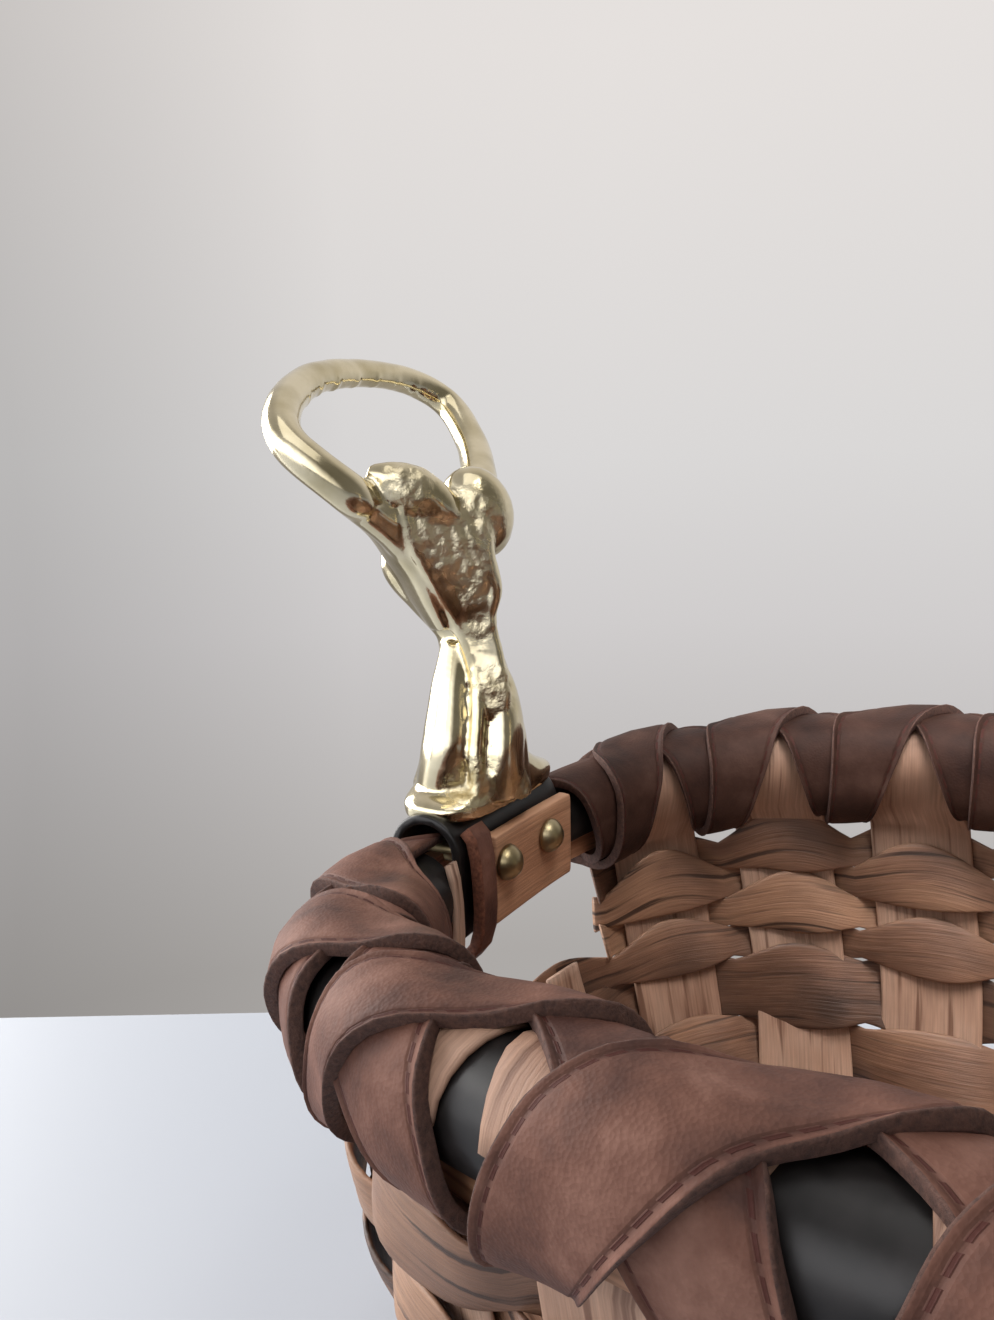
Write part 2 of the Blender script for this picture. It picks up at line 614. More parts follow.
# leather lacing, wound both ways round the rim
# the tables give a share or a breadth against the angle round the rim, 0 inside, 90 on top and 180 outside
lace = {"halfWidth": 0.0125, "halfHeight": 0.0128, "roundness": 2.6, "centre": 0.0016, "inset": 0.0011,
        "thick": 0.0021, "gap": 0.0002, "lip": 0.45, "lipFrom": (0.88, 0.97), "grooveDepth": 0.16,
        "grooveWidth": 0.05, "edgeFrom": 0.965, "seatEdge": 0.0285, "steps": 44,
        "endRooms": {"far": 0.0095, "near": 0.0055}, "breadthWander": 0.06, "outWander": 0.0003,
        "tones": {"far": 0.27, "near": 0.82},
        "drawnIn": 0.16, "drawnFade": (0.032, 0.062),  # thinner beside a seat
        "steady": 0.45, "rush": (0.36, 0.88),  # a turn moves on along the rim mostly in the middle of its way
        "crossing": 0.0403, "liftFade": (0.08, 0.5), "lastPlace": 10, "spacing": 0.038,
        "nearPlaces": [0.041, 0.077, 0.113, 0.161, 0.206, 0.247, 0.288, 0.328, 0.368, 0.408, 0.448],
        "nearLean": [(-90, 0.60), (0, 0.55), (60, 0.40), (90, 0.17), (120, 0.0), (150, -0.11), (180, -0.20),
                     (270, -0.40)],
        "nearBreadth": [(-90, 0.011), (0, 0.021), (60, 0.027), (90, 0.0285), (120, 0.027), (150, 0.0235),
                        (180, 0.020), (270, 0.010)],
        "farBreadth": [(-90, 0.010), (0, 0.0185), (90, 0.0258), (180, 0.020), (270, 0.010)],
        "outerShares": {2: 0.5, 0: 0.9, 1: 0.9}, "outerFade": (100, 150)}


def leatherOutline():
    outline = []
    for s, t in flatOutline(52, 10.0):
        groove = lace["grooveDepth"] * math.exp(-((abs(s) - leather["seam"]) / lace["grooveWidth"]) ** 2)
        lip = 1 + lace["lip"] * smooth(*lace["lipFrom"], abs(s))
        outline.append((s, (t - math.copysign(groove, t)) * lip if abs(t) > 0.3 else t * lip))
    return outline


laceOutline = leatherOutline()


# a smooth curve through the rows of a table
def tableValue(table, x):
    last = len(table) - 1
    k = 0
    while k < last - 1 and x > table[k + 1][0]:
        k += 1
    slopes = []
    for i in (k, k + 1):
        low, high = table[max(i - 1, 0)], table[min(i + 1, last)]
        slopes.append((high[1] - low[1]) / (high[0] - low[0]))
    (x0, y0), (x1, y1) = table[k], table[k + 1]
    span = x1 - x0
    u = min(max((x - x0) / span, 0.0), 1.0)
    bend = u * u * (3 - 2 * u)
    return y0 + (y1 - y0) * bend + span * u * (1 - u) * (slopes[0] * (1 - u) - slopes[1] * u)


def laceAdvance(share):
    whole = math.floor(share)
    rest = share - whole
    return whole + lace["steady"] * rest + (1 - lace["steady"]) * smooth(*lace["rush"], rest)


def laceSpot(run, turn, out, side):
    fromSeat = abs((run + halfRim / 2) % halfRim - halfRim / 2 - rim["seatShift"])
    drawn = lace["drawnIn"] * (1 - smooth(*lace["drawnFade"], fromSeat)) * max(math.cos(turn), 0.0)
    wide = abs(math.cos(turn)) / (lace["halfWidth"] * (1 - drawn) + out)
    tall = abs(math.sin(turn)) / (lace["halfHeight"] + out)
    reach = (wide ** lace["roundness"] + tall ** lace["roundness"]) ** (-1 / lace["roundness"])
    spot, along, outward = rimFrame(run + side)
    rise = lace["centre"] + reach * math.sin(turn)
    return spot - outward * (lace["inset"] + reach * math.cos(turn)) + Vector((0, 0, rise))


def nearPlace(number):
    places = lace["nearPlaces"]
    inside = min(max(number, 0), len(places) - 1)
    return places[inside] + (number - inside) * lace["spacing"]


def laceAngle(winding, hand):
    rest = winding - math.floor(winding)
    return 360 * rest - 90 if hand > 0 else 270 - 360 * rest


# how far a strap is from its crossing place, in shares of the distance between straps
def laceLean(winding, hand, start):
    if start:
        return hand * tableValue(lace["nearLean"], laceAngle(winding, hand))
    rest = winding - math.floor(winding)
    return 0.5 - laceAdvance(rest) if hand > 0 else laceAdvance(1 - rest) - 0.5


def laceRun(winding, hand, start):
    if not start:
        return uprightRun(0.5 + (laceAdvance(winding) if hand > 0 else -laceAdvance(-winding)))
    number = lace["lastPlace"] - math.floor(winding)
    lean = laceLean(winding, hand, start)
    place = nearPlace(number)
    gap = nearPlace(number + 1) - place if lean > 0 else place - nearPlace(number - 1)
    return halfRim - place - lean * gap


# an upper strap is lifted where it lies on a lower one
def laceLift(lean, edge, breadth):
    apart = (2 * lean + edge * breadth / lace["crossing"] + 0.5) % 1.0 - 0.5
    return (lace["thick"] + lace["gap"]) * (1 - smooth(*lace["liftFade"], abs(apart)))


def laceMesh(name, layer, hand, side, start, seed):
    endRoom = lace["endRooms"][side]
    first = rim["seatShift"] + lace["seatEdge"] + endRoom
    last = rim["seatShift"] + halfRim - lace["seatEdge"] - endRoom
    ahead = 0.02  # the strap's heading is taken from here to a little further on
    sections = []
    for k in range(-lace["steps"], 12 * lace["steps"]):
        winding = k / lace["steps"]
        run = laceRun(winding, hand, start)
        if run < first or run > last:
            continue
        turn = hand * math.tau * winding - math.pi / 2
        angle = laceAngle(winding, hand)
        breadth = tableValue(lace[side + "Breadth"], angle)
        breadth *= 1 + lace["breadthWander"] * wobble(winding, seed, 1.3)
        if start and layer:
            share = lace["outerShares"].get(lace["lastPlace"] - math.floor(winding), 1.0)
            breadth *= 1 + (share - 1) * smooth(*lace["outerFade"], angle)
        out = lace["gap"] + lace["thick"] / 2 + lace["outWander"] * wobble(winding, seed + 4, 2.1)
        lean = laceLean(winding, hand, start)
        here = start + run
        nextRun = start + laceRun(winding + ahead, hand, start)
        heading = laceSpot(nextRun, turn + ahead * hand * math.tau, out, 0) - laceSpot(here, turn, out, 0)
        spots = []
        for edge in (-0.5, 0, 0.5):
            lift = layer * laceLift(lean, -edge, breadth)
            spots.append(laceSpot(here, turn, out + lift, edge * breadth))
        left, middle, right = spots
        facing = (right - left).cross(heading).normalized()
        if facing.dot(middle - rimPoint(here)) < 0:
            facing = -facing
        sections.append((middle, (right - left) / 2, (right + left) / 2 - middle,
                         facing * (lace["thick"] / 2)))
    return stripMesh(name, sections, laceOutline, tone=lace["tones"][side], edgeFrom=lace["edgeFrom"])


for label, layer, hand in (("under", 0, -1), ("over", 1, 1)):
    for side, start in (("far", 0), ("near", halfRim)):
        name = "lace_%s_%s" % (label, side)
        mesh = laceMesh(name, layer, hand, side, start, layer * 3 + (1 if start else 2))
        addPiece("look_" + name, mesh, [name], [lacedLeather, rawEdge])
print("lacing made")

# handle seats: saddle, cleat, rivets and the loose ends of strap and splint
seat = {"first": -0.0215, "last": 0.0295, "outer": 0.0096, "inner": 0.0072, "centre": 0.0119, "legs": -0.0086,
        "saddleEdge": 0.0007, "cleatFirst": -0.0105, "cleatInner": 0.0098, "cleatFace": 0.0138,
        "cleatTop": 0.0149, "cleatBottom": -0.0076, "cleatTone": 0.6, "cleatEdge": 0.0005, "steps": 12}
# distances from the face of the cleat or the back of the saddle, with the radius there
rivet = {"places": (-0.0065, 0.015), "height": 0.0075, "standOff": 0.0002, "wear": 0.00018,
         "head": [(0.0046, 0.0), (0.0044, 0.0012), (0.0037, 0.0026), (0.0026, 0.0037), (0.0014, 0.0044),
                  (0.0004, 0.0045), (0.0, 0.0042), (0.0, 0.0025)],
         "tail": [(0.0, 0.0025), (0.0, 0.0040), (-0.0009, 0.0030), (-0.0016, 0.0)]}
# paths of outward and upward distances, hung down the inner side at a run along the rim
strapEnd = {"run": -0.0155, "width": 0.0078, "thick": 0.0032, "tone": 1.0, "edgeFrom": 0.80,
            "path": [(-0.0094, 0.0180), (-0.0114, 0.0160), (-0.0125, 0.0110), (-0.0130, 0.0050),
                     (-0.0132, -0.0010), (-0.0128, -0.0065), (-0.0114, -0.0110), (-0.0090, -0.0140)]}
splintEnd = {"run": -0.0245, "width": 0.0042, "thick": 0.0014, "tone": 0.7, "edgeFrom": None,
             "path": [(-0.0088, 0.0120), (-0.0098, 0.0080), (-0.0104, 0.0020), (-0.0106, -0.0050),
                      (-0.0104, -0.0120), (-0.0098, -0.0185)]}


# sweeps an outline given as distances outward and upward from the rim's centre line
def rimSweep(name, outline, first, last, tone=0.5):
    sections = []
    for k in range(seat["steps"] + 1):
        spot, along, outward = rimFrame(first + (last - first) * k / seat["steps"])
        sections.append((spot, outward, Vector((0, 0, 0)), Vector((0, 0, 1))))
    mesh = stripMesh(name, sections, outline, tone=tone)
    uvLayer = mesh.uv_layers["UVMap"]
    for loop in mesh.loops:
        spot = mesh.vertices[loop.vertex_index].co
        uvLayer.data[loop.index].uv = (spot.y, spot.z)
    return mesh


def archOutline():
    outline = []
    drop = seat["centre"] - seat["legs"]
    for skin, otherSkin, hand in (("outer", "inner", 1), ("inner", "outer", -1)):
        for k in range(25):
            turn = math.pi * k / 24
            outline.append((hand * seat[skin] * math.cos(turn), seat["centre"] + seat[skin] * math.sin(turn)))
        for k in range(7):
            outline.append((-hand * seat[skin], seat["centre"] - drop * (k + 1) / 7))
        for k in range(7):
            outline.append((-hand * seat[otherSkin], seat["legs"] + drop * k / 7))
    return outline


def cleatOutline():
    middle = (-(seat["cleatFace"] + seat["cleatInner"]) / 2, (seat["cleatTop"] + seat["cleatBottom"]) / 2)
    half = ((seat["cleatFace"] - seat["cleatInner"]) / 2, (seat["cleatTop"] - seat["cleatBottom"]) / 2)
    return [(middle[0] + half[0] * s, middle[1] + half[1] * t) for s, t in flatOutline(40, 9.0)]


def otherEnd(mesh, name):
    copy = mesh.copy()
    copy.name = name
    copy.transform(Matrix.Rotation(math.pi, 4, "Z"))
    return copy


def softenEdges(piece, width):
    bevel = piece.modifiers.new("soft edges", "BEVEL")
    bevel.width = width
    bevel.segments = 2
    bevel.limit_method = "ANGLE"
    bevel.angle_limit = math.radians(50)


def rivetMesh(name, place):
    bm = bmesh.new()
    front = rimPoint(place).x + seat["cleatFace"] + rivet["standOff"]
    back = rimPoint(place).x - seat["outer"] - rivet["standOff"]
    level = rim["height"] + rivet["height"]
    profile = [(front + x, radius) for x, radius in rivet["head"]]
    profile += [(back + x, radius) for x, radius in rivet["tail"]]
    verts = [bm.verts.new((x, place, level + radius)) for x, radius in profile]
    edges = [bm.edges.new(pair) for pair in zip(verts, verts[1:])]
    bmesh.ops.spin(bm, geom=verts + edges, cent=(0, place, level), axis=(1, 0, 0), angle=math.tau, steps=28,
                   use_merge=True)
    bmesh.ops.remove_doubles(bm, verts=bm.verts, dist=0.000005)
    for vert in bm.verts:
        dent = rivet["wear"] * noise.noise(vert.co * 420 + Vector((0, 0, place * 300)))
        vert.co += Vector((0, dent, dent))
    bmesh.ops.recalc_face_normals(bm, faces=bm.faces)
    for face in bm.faces:
        face.smooth = True
    mesh = bpy.data.meshes.new(name)
    bm.to_mesh(mesh)
    bm.free()
    return mesh


def hangingMesh(name, end, outline):
    sections = []
    spot, along, outward = rimFrame(end["run"])
    for k, (out, rise) in enumerate(end["path"]):
        breadth = end["width"] * (1 + 0.10 * wobble(k * 0.37, end["run"] * 900, 1.0))
        stray = along * (0.0006 * wobble(k * 0.3, end["run"] * 700, 1.0))
        sections.append((spot + outward * out + Vector((0, 0, rise)) + stray, along * (breadth / 2),
                         Vector((0, 0, 0)), pathFacing(end["path"], k, outward) * (end["thick"] / 2)))
    return stripMesh(name, sections, outline, tone=end["tone"], edgeFrom=end["edgeFrom"])


strapEndMesh = hangingMesh("strap end", strapEnd, flatOutline(24, 5.0))
splintEndMesh = hangingMesh("splint end", splintEnd, woodOutline)
saddleMesh = rimSweep("saddle", archOutline(), seat["first"], seat["last"])
cleatMesh = rimSweep("cleat", cleatOutline(), seat["cleatFirst"], seat["last"], seat["cleatTone"])
for end, turn in (("left", False), ("right", True)):
    for kind, mesh, slot, material in (("saddle", saddleMesh, "black_cover", blackCover),
                                       ("cleat", cleatMesh, "rim_wood", cleatWood)):
        name = "%s_%s" % (kind, end)
        copy = otherEnd(mesh, name) if turn else mesh.copy()
        piece = addPiece("look_" + name, copy, [name], material)
        softenEdges(piece, seat[kind + "Edge"])
    for kind, mesh, slot, materials in (
            ("strap_end", strapEndMesh, "laced_leather", [lacedLeather, freshEdge]),
            ("splint_end", splintEndMesh, "splint_wood", [splintWood])):
        name = "%s_%s" % (kind, end)
        addPiece(name, otherEnd(mesh, name) if turn else mesh.copy(), [], materials)
    for k, place in enumerate(rivet["places"]):
        name = "rivet_%s_%d" % (end, k + 1)
        mesh = rivetMesh(name, place)
        addPiece("look_" + name, otherEnd(mesh, name) if turn else mesh, [name], dullBrass)
print("seats made")

# cast handle: a figure with raised arms, worked up from tubes and fused
# rings are a middle, half size along the flat axis and half size the other way, in millimetres
# a middle is given to the figure's side, to its back and up, apart from the foot and the loop
figure = {
    "origin": Vector((-0.1675, 0.0, 0.1535)), "voxel": 0.0006, "smoothings": 3, "footCorner": 0.62,
    "foot": [(0, 5.5, -2.0, 11.4, 25.2), (0, 5.5, 0.8, 11.8, 25.6), (0, 5.5, 2.4, 11.6, 24.0),
             (0, 5.5, 4.6, 11.2, 18.5), (0, 5.5, 8.0, 10.4, 12.5)],
    "trunk": [(0.7, 0, 1, 12.0, 15.4), (1.2, 0, 6, 12.0, 14.3), (1.7, 0, 13.5, 11.4, 13.2),
              (1.5, 0, 24, 10.0, 11.0), (1.3, -0.2, 31.6, 8.4, 9.0), (0.0, -0.6, 39.2, 6.8, 7.0),
              (-1.1, -0.8, 44.2, 7.0, 8.0), (-3.9, -1.0, 51.7, 7.8, 11.0), (-7.3, -1.0, 60.4, 8.2, 13.6),
              (-9.0, 0, 67, 7.0, 10.5), (-8.5, 0.5, 71, 4.5, 6.0)],
    "nearHip": [(-5.9, 4.0, 2, 8.8, 7.4), (-5.2, 5.0, 10, 9.2, 7.0), (-4.3, 5.2, 16, 9.0, 6.7),
                (-3.4, 4.2, 28, 7.2, 5.4), (-1.9, 2.2, 38.6, 5.0, 4.2)],
    "farHip": [(7.8, 4.0, 2, 8.6, 6.0), (8.2, 5.0, 10, 9.0, 5.8), (8.6, 4.6, 20, 7.6, 5.2),
               (7.6, 2.5, 28.4, 5.4, 4.2), (4.5, 1.0, 36, 3.6, 2.8)],
    "nearArm": [(-5.6, 4, 57.7, 6.0, 6.0), (-10.9, 11, 63.6, 5.8, 6.0), (-15.8, 17, 69.1, 5.2, 5.6),
                (-20.8, 22, 73.4, 4.7, 5.1)],
    "farArm": [(2, -7, 70, 6.0, 6.6), (-1, -3, 59, 5.6, 6.2)],
    "flank": [(-32.0, 18.0, 79.5, 2.4, 2.6), (-25.0, 16.0, 73.6, 2.8, 4.6), (-18.4, 12.6, 67.5, 3.0, 6.6),
              (-13.0, 8.4, 58.8, 3.2, 8.0), (-9.4, 6.2, 51.0, 2.8, 7.0), (-5.6, 4.2, 43.5, 2.4, 5.0)],
    "flankLean": (-0.82, 0.45, -0.35), "flankCorner": 0.8,
    "lock": [(-20.0, 20.5, 80.2, 2.0, 2.0), (-15.1, 20.5, 78.4, 4.0, 4.6), (-9.8, 18.5, 75.9, 4.8, 5.6),
             (-4.5, 15.0, 71.8, 4.4, 4.8), (-2.0, 12.0, 66.5, 2.4, 2.6)],
    "ridge": [(-3.4, 8.0, 45.3, 1.4, 1.4), (0.5, 8.2, 39.4, 1.7, 1.7), (2.6, 9.4, 31.2, 1.8, 1.8),
              (2.9, 11.4, 21.8, 1.9, 1.9), (2.2, 12.6, 13.2, 1.9, 2.0), (2.6, 12.8, 6, 1.8, 2.2),
              (3.0, 12.0, 1, 1.6, 2.4)]}
# the loop leans back at 45 degrees; its rows are shares across and up it, and a half size
loop = {"slant": 0.7071, "width": 84, "length": 52.4, "foot": 69.44, "flatness": 0.92,
        "hollow": (-18.5, 0, 88), "knuckles": 8, "knuckleFirst": 6.5, "knuckleStep": 0.42,
        "knuckleIn": 1.15, "knuckleSize": 0.82,
        "rows": [(-0.425, 0.195, 4.9), (-0.493, 0.456, 4.5), (-0.407, 0.674, 4.3), (-0.176, 0.899, 4.0),
                 (0.113, 1.0, 3.8), (0.367, 0.977, 4.0), (0.487, 0.813, 4.4), (0.41, 0.496, 4.7),
                 (0.25, 0.22, 5.2)]}
# rows of a strand: side, its spread, share of the sway, back, its spread, height and half sizes
hair = {"strands": 6, "sway": 0.7, "swayStep": 2.1,
        "rows": [(-12.5, 15, 0, 20.5, -9, 72.5, 1.8, 1.6), (-11.2, 16.2, 0, 18.6, -7, 66.5, 2.5, 2.2),
                 (-8.4, 14.8, 1, 15.4, -4.6, 60, 2.6, 2.3), (-5.2, 12.0, -1, 11.2, -1.8, 52.7, 2.5, 2.0),
                 (-1.8, 8.4, 0.6, 8.6, 0, 45.4, 2.2, 1.6), (1.6, 6.4, 0, 8.6, 0, 37, 2.0, 1.4),
                 (4.4, 5.0, 0, 9.6, 0, 29, 1.7, 1.3), (6.0, 3.2, 0, 10.4, 0, 22, 1.2, 1.0)]}
# spots on the head are to its side, up it and ahead of its middle
head = {"middle": (3.7, 4.0, 70.6), "crown": (-0.28, 0.38, 0.88),
        "balls": [((0, 0, 0), (8.2, 11.8, 8.4)), ((0, 1.0, -1.4), (8.8, 11.2, 8.2)),
                  ((0, -8.6, 4.2), (4.0, 3.0, 3.2))],
        "nose": [(0, 1.6, 7.8, 0.9, 0.9), (0, -1.4, 8.9, 1.1, 1.1), (0, -3.6, 9.4, 1.4, 1.7),
                 (0, -4.4, 7.9, 1.0, 1.6)],
        "lips": [(-5.9, 0.9), (-7.0, 0.8)], "eye": ((3.3, -0.2, 6.8), (1.7, 0.8, 0.9)),
        "brow": [(1.2, 1.6, 8.0, 0.8, 0.6), (3.4, 2.2, 7.6, 0.9, 0.6), (5.8, 1.0, 5.9, 0.7, 0.5)],
        "neck": [(-0.5, 0, 62, 5.4, 6.0), (-3, -0.8, 57, 5.6, 6.6)]}
# where the casting is grainy: spots and reaches, and the depth of its waves
grain = {"spots": [(3.5, 11, 70, 10.0), (-3, 15, 64, 10.0), (-8, 17, 67, 8.0), (-11, 21, 77, 8.0),
                   (1, 13, 59, 9.0), (2, 10, 54, 8.0), (4, 8, 44, 6.0), (7.5, 10, 29, 8.0),
                   (1, 13, 6, 10.0), (12, 6, 3, 8.0)],
         "core": 0.2, "even": 0.00014, "coarse": 0.00080, "fine": 0.00028}
figureSide, figureBack, figureUp = Vector((0.866, 0.5, 0)), Vector((0.5, -0.866, 0)), Vector((0, 0, 1))


def spline(points, t):
    last = len(points) - 1
    place = min(max(t, 0.0), 1.0) * last
    start = min(int(place), last - 1)
    f = place - start
    a, b, c, d = [points[min(max(start + k, 0), last)] for k in (-1, 0, 1, 2)]
    return [(2 * q + (r - p) * f + (2 * p - 5 * q + 4 * r - s) * f * f + (3 * q - p - 3 * r + s) * f ** 3) / 2
            for p, q, r, s in zip(a, b, c, d)]


def bodySpot(side, back, height):
    return figureSide * side + figureBack * back + figureUp * height


def bodyRings(rings):
    return [(*bodySpot(*ring[:3]), *ring[3:]) for ring in rings]


def addTube(bm, rings, steps=36, around=22, flat=figureBack, corner=1.0):
    grid = bmesh.ops.create_grid(bm, x_segments=steps, y_segments=around, size=0.5)["verts"]
    frames = []
    for k in range(steps + 1):
        here = spline(rings, k / steps)
        before, after = [Vector(spline(rings, k / steps + way)[:3]) for way in (-nudge, nudge)]
        along = (after - before).normalized()
        second = along.cross(flat).normalized()
        first = second.cross(along).normalized()
        frames.append((Vector(here[:3]), first * here[3], second * here[4]))
    for vert in grid:
        middle, first, second = frames[round((vert.co.x + 0.5) * steps)]
        turn = math.tau * round((vert.co.y + 0.5) * around) / around
        a, b = signedPower(math.cos(turn), corner), signedPower(math.sin(turn), corner)
        vert.co = (middle + first * a + second * b) * 0.001
    bmesh.ops.remove_doubles(bm, verts=grid, dist=weld)
    bmesh.ops.holes_fill(bm, edges=[edge for edge in bm.edges if edge.is_boundary], sides=0)


def addBall(bm, centre, halves, axes=None):
    turn = Matrix(axes).transposed().to_4x4() if axes else Matrix.Identity(4)
    place = Matrix.Translation(centre * 0.001) @ turn @ Matrix.Diagonal((*halves, 1))
    bmesh.ops.create_uvsphere(bm, u_segments=24, v_segments=16, radius=0.001, matrix=place)


def addHead(bm):
    middle = bodySpot(*head["middle"])
    crown = bodySpot(*head["crown"]).normalized()
    cheek = (figureSide - crown * figureSide.dot(crown)).normalized()
    front = cheek.cross(crown).normalized()
    if front.dot(figureBack) > 0:
        front = -front
    axes = (cheek, crown, front)

    def spot(side, rise, ahead):
        return middle + cheek * side + crown * rise + front * ahead

    for place, halves in head["balls"]:
        addBall(bm, spot(*place), halves, axes)
    addTube(bm, [(*spot(*ring[:3]), *ring[3:]) for ring in head["nose"]], 12, 10, front)
    for lift, size in head["lips"]:
        lips = [(*spot(-2.6, lift, 6.6), 0.6, 0.5), (*spot(0, lift, 7.8), size, 0.7),
                (*spot(2.6, lift, 6.6), 0.6, 0.5)]
        addTube(bm, lips, 10, 8, front)
    for hand in (-1, 1):
        brow = [(*spot(hand * side, rise, ahead), *sizes) for side, rise, ahead, *sizes in head["brow"]]
        addTube(bm, brow, 10, 8, front)
        (side, rise, ahead), halves = head["eye"]
        addBall(bm, spot(hand * side, rise, ahead), halves, axes)
    addTube(bm, [(*spot(0, -6, 0), 5.0, 5.0)] + bodyRings(head["neck"]), 14, 16)


# raised arms that meet in the loop, which is lumpy on its inner side
def addArms(bm):
    arms = bodyRings(figure["nearArm"])
    for across, rise, size in loop["rows"]:
        climb = rise * loop["length"] * loop["slant"]
        arms.append((-climb, across * loop["width"], loop["foot"] + climb, size * loop["flatness"], size))
    arms += bodyRings(figure["farArm"])
    addTube(bm, arms, 120, 20, Vector((loop["slant"], 0, loop["slant"])))
    for k in range(loop["knuckles"]):
        ring = spline(arms, (loop["knuckleFirst"] + loop["knuckleStep"] * k) / (len(arms) - 1))
        spot = Vector(ring[:3])
        inward = (Vector(loop["hollow"]) - spot).normalized()
        addBall(bm, spot + inward * loop["knuckleIn"], [ring[4] * loop["knuckleSize"]] * 3)


# hair that falls down the back in strands
def addHair(bm):
    for k in range(hair["strands"]):
        q = k / (hair["strands"] - 1)
        sway = hair["sway"] * math.sin(k * hair["swayStep"])
        strand = [(side + spread * q + share * sway, back + backSpread * q, height, *sizes)
                  for side, spread, share, back, backSpread, height, *sizes in hair["rows"]]
        addTube(bm, bodyRings(strand), 60, 12)


def fuseParts(bm):
    raw = bpy.data.meshes.new("figure parts")
    bm.to_mesh(raw)
    bm.free()
    holder = bpy.data.objects.new("figure parts", raw)
    bpy.context.scene.collection.objects.link(holder)
    fuse = holder.modifiers.new("fuse", "REMESH")
    fuse.mode = "VOXEL"
    fuse.voxel_size = figure["voxel"]
    mesh = bpy.data.meshes.new_from_object(holder.evaluated_get(bpy.context.evaluated_depsgraph_get()))
    bpy.data.objects.remove(holder)
    return mesh


def handleMesh():
    bm = bmesh.new()
    addTube(bm, figure["foot"], 30, 40, Vector((1, 0, 0)), figure["footCorner"])
    addTube(bm, bodyRings(figure["trunk"]), 70, 32)
    addTube(bm, bodyRings(figure["nearHip"]))
    addTube(bm, bodyRings(figure["farHip"]))
    addArms(bm)
    leaning = bodySpot(*figure["flankLean"]).normalized()
    addTube(bm, bodyRings(figure["flank"]), flat=leaning, corner=figure["flankCorner"])
    addTube(bm, bodyRings(figure["lock"]), 36, 18)
    addHead(bm)
    addHair(bm)
    addTube(bm, bodyRings(figure["ridge"]), 40, 12)
    bmesh.ops.recalc_face_normals(bm, faces=bm.faces)
    mesh = fuseParts(bm)
    bm = bmesh.new()
    bm.from_mesh(mesh)
    grainLayer = bm.verts.layers.float.new("grain")
    for k in range(figure["smoothings"]):
        bmesh.ops.smooth_vert(bm, verts=bm.verts, factor=0.5, use_axis_x=True, use_axis_y=True,
                              use_axis_z=True)
    bm.normal_update()
    grainSpots = [(bodySpot(*spot), reach) for *spot, reach in grain["spots"]]
    for vert in bm.verts:
        rough = 0.0
        for centre, reach in grainSpots:
            away = (vert.co * 1000 - centre).length
            rough = max(rough, 1 - smooth(reach * grain["core"], reach, away))
        waves = grain["coarse"] * noise.noise(vert.co * 330) + grain["fine"] * noise.noise(vert.co * 760)
        vert[grainLayer] = rough
        vert.co += vert.normal * (grain["even"] * noise.noise(vert.co * 130) + rough * waves)
    for face in bm.faces:
        face.smooth = True
    bm.to_mesh(mesh)
    bm.free()
    mesh.transform(Matrix.Translation(figure["origin"]))
    return mesh


handle = handleMesh()
print("figure faces:", len(handle.polygons))
addPiece("look_handle_left", handle, ["handle_left"], brass)
addPiece("look_handle_right", otherEnd(handle, "handle right"), ["handle_right"], brass)
print("handles made")

# nodes that keep their own shape
keptLooks = {"hoop": ("rim_wood", rimWood), "sheath": ("black_cover", blackCover)}
for name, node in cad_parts.items():
    look = keptLooks.get(name.split("_")[0])
    if look:
        node.data.materials.clear()
        node.data.materials.append(look[1])
print("kept nodes dressed")

# camera, with its turns in radians
camera = {"place": Vector((-0.034177, -0.208624, 0.231724)), "lens": 27.506, "sensor": 36.0, "clip": 0.01,
          "turn": 0.538, "pitch": 0.177, "roll": -0.02}
flatView = Vector((-math.sin(camera["turn"]), math.cos(camera["turn"]), 0))
view = flatView * math.cos(camera["pitch"]) - Vector((0, 0, math.sin(camera["pitch"])))
right = Vector((math.cos(camera["turn"]), math.sin(camera["turn"]), 0))
up = right.cross(view)
rolledRight = right * math.cos(camera["roll"]) + up * math.sin(camera["roll"])
rolledUp = up * math.cos(camera["roll"]) - right * math.sin(camera["roll"])
lensData = bpy.data.cameras.new("camera")
lensData.lens = camera["lens"]
lensData.sensor_width = camera["sensor"]
lensData.clip_start = camera["clip"]
cameraObject = bpy.data.objects.new("camera", lensData)
pose = Matrix((rolledRight, rolledUp, -view)).transposed().to_4x4()
pose.translation = camera["place"]
cameraObject.matrix_world = pose
bpy.context.scene.collection.objects.link(cameraObject)
bpy.context.scene.camera = cameraObject

# a table that ends behind the basket
tableTop = {"ahead": 0.415, "back": 2.5, "side": 2.5, "colour": (0.48, 0.505, 0.56, 1), "roughness": 0.5}
bm = bmesh.new()
bmesh.ops.create_grid(bm, x_segments=1, y_segments=1, size=0.5)
for vert in bm.verts:
    ahead = tableTop["ahead"] if vert.co.y > 0 else -tableTop["back"]
    vert.co = camera["place"] + flatView * ahead + right * math.copysign(tableTop["side"], vert.co.x)
    vert.co.z = 0
mesh = bpy.data.meshes.new("table")
bm.to_mesh(mesh)
bm.free()
tablePaint, make = newMaterial("tablePaint")
finishMaterial(tablePaint, make, {"Base Color": tableTop["colour"], "Roughness": tableTop["roughness"]})
mesh.materials.append(tablePaint)
table = bpy.data.objects.new("table", mesh)
bpy.context.scene.collection.objects.link(table)

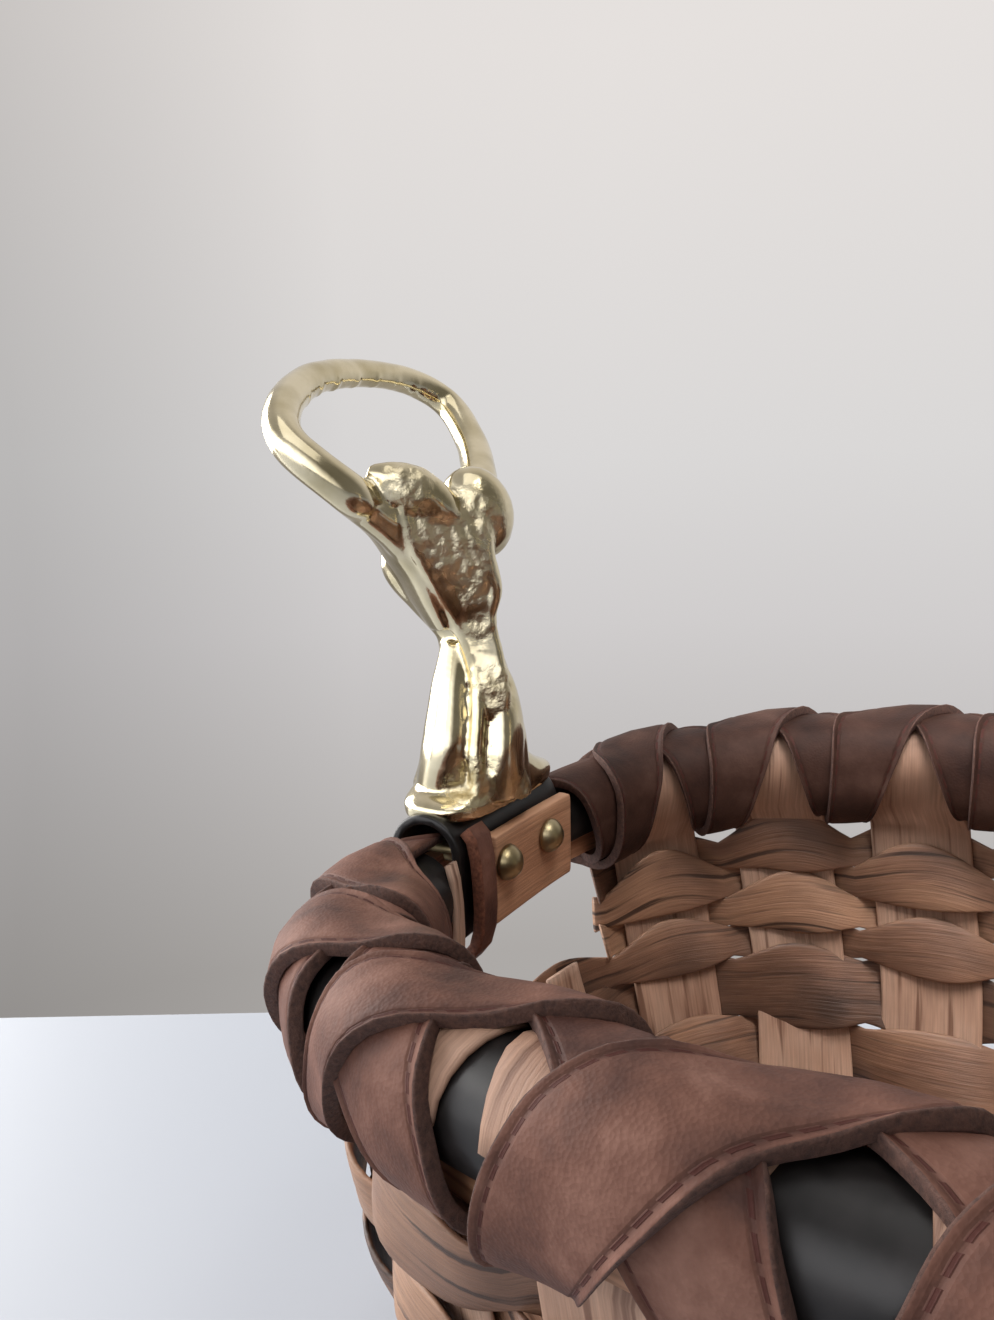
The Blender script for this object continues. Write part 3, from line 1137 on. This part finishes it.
# the wall gets paler to the right and upward
# behind the camera the room is bright to the left and dim to the right and overhead
studio = {"rightward": (0.859, 0.512, 0), "ahead": (-0.512, 0.859, 0), "glow": (-0.75, 0.25, 0.6),
          "sidePaint": [(0.08, grey(0.70)), (0.36, grey(0.97)), (0.6, grey(1.0))],
          "upPaint": [(0.06, (0.42, 0.40, 0.385)), (0.36, (0.63, 0.61, 0.61)), (0.52, (0.70, 0.685, 0.68)),
                      (0.86, (0.785, 0.75, 0.73))],
          "dimRoom": (0.20, 0.19, 0.17, 1), "brightRoom": (2.2, 2.2, 2.3, 1), "overhead": 0.12,
          "glowPaint": [(0.0, (0.30, 0.29, 0.28)), (0.35, grey(0.52)), (0.9, grey(0.95))],
          "glowStrength": 0.8}


def makeWorld():
    world = bpy.data.worlds.new("studio")
    bpy.context.scene.world = world
    world.use_nodes = True
    world.node_tree.nodes.clear()
    make = nodeMaker(world.node_tree)
    rays = make("ShaderNodeLightPath").outputs
    direction = make("ShaderNodeTexCoord").outputs["Generated"]

    def towards(way):
        dot = make("ShaderNodeVectorMath", {0: direction, 1: studio[way]}, operation="DOT_PRODUCT")
        return dot.outputs["Value"]

    sideways = towards("rightward")
    upward = make("ShaderNodeSeparateXYZ", {0: direction}).outputs["Z"]
    sidePaint = ramp(make, rangeNode(make, sideways, -0.5, 0.5), studio["sidePaint"])
    upPaint = ramp(make, rangeNode(make, upward, -0.5, 0.5), studio["upPaint"])
    paint = mixNode(make, 1.0, sidePaint, upPaint, "MULTIPLY")
    leftShare = rangeNode(make, sideways, 0.35, -0.05)
    lowShare = rangeNode(make, upward, 0.70, 0.35, studio["overhead"])
    litShare = mathNode(make, "MULTIPLY", leftShare, lowShare)
    behind = mixNode(make, litShare, studio["dimRoom"], studio["brightRoom"])
    mirrored = mixNode(make, rangeNode(make, towards("ahead"), -0.1, 0.5), behind, paint)
    # the camera sees the paint on every side, and shiny pieces mirror the room
    backdrop = mixNode(make, rays["Is Camera Ray"], mirrored, paint)
    wall = make("ShaderNodeBackground", {"Color": backdrop, "Strength": 1.0})
    glowPaint = ramp(make, towards("glow"), studio["glowPaint"])
    room = make("ShaderNodeBackground", {"Color": glowPaint, "Strength": studio["glowStrength"]})
    seen = mathNode(make, "MAXIMUM", rays["Is Camera Ray"], rays["Is Glossy Ray"])
    both = make("ShaderNodeMixShader", {0: seen, 1: room.outputs[0], 2: wall.outputs[0]})
    make("ShaderNodeOutputWorld", {"Surface": both.outputs[0]})


makeWorld()

lamps = [
    {"name": "window", "place": (-1.15, -0.05, 0.46), "target": (-0.12, 0.0, 0.18), "size": (1.0, 0.9),
     "power": 18.0, "colour": (1.0, 0.99, 0.97), "spread": 180},
    {"name": "side window", "place": (-0.55, -0.92, 0.44), "target": (-0.14, 0.0, 0.18), "size": (1.15, 0.9),
     "power": 3.0, "colour": (1.0, 0.99, 0.97), "spread": 180},
    {"name": "ceiling", "place": (0.10, -0.25, 1.2), "target": (0.0, 0.05, 0.08), "size": (0.9, 0.9),
     "power": 2.6, "colour": (1.0, 0.98, 0.96), "spread": 180},
    {"name": "inside fill", "place": (0.02, -0.02, 0.42), "target": (-0.02, 0.11, 0.09), "size": (0.18, 0.18),
     "power": 0.23, "colour": (1.0, 0.97, 0.94), "spread": 60}]
for lamp in lamps:
    light = bpy.data.lights.new(lamp["name"], "AREA")
    light.shape = "RECTANGLE"
    light.size, light.size_y = lamp["size"]
    light.energy = lamp["power"]
    light.color = lamp["colour"]
    light.spread = math.radians(lamp["spread"])
    holder = bpy.data.objects.new(lamp["name"], light)
    holder.location = lamp["place"]
    facing = Vector(lamp["target"]) - Vector(lamp["place"])
    holder.rotation_euler = facing.to_track_quat("-Z", "Y").to_euler()
    bpy.context.scene.collection.objects.link(holder)
bpy.context.scene.view_settings.view_transform = "Standard"
print("stage set")
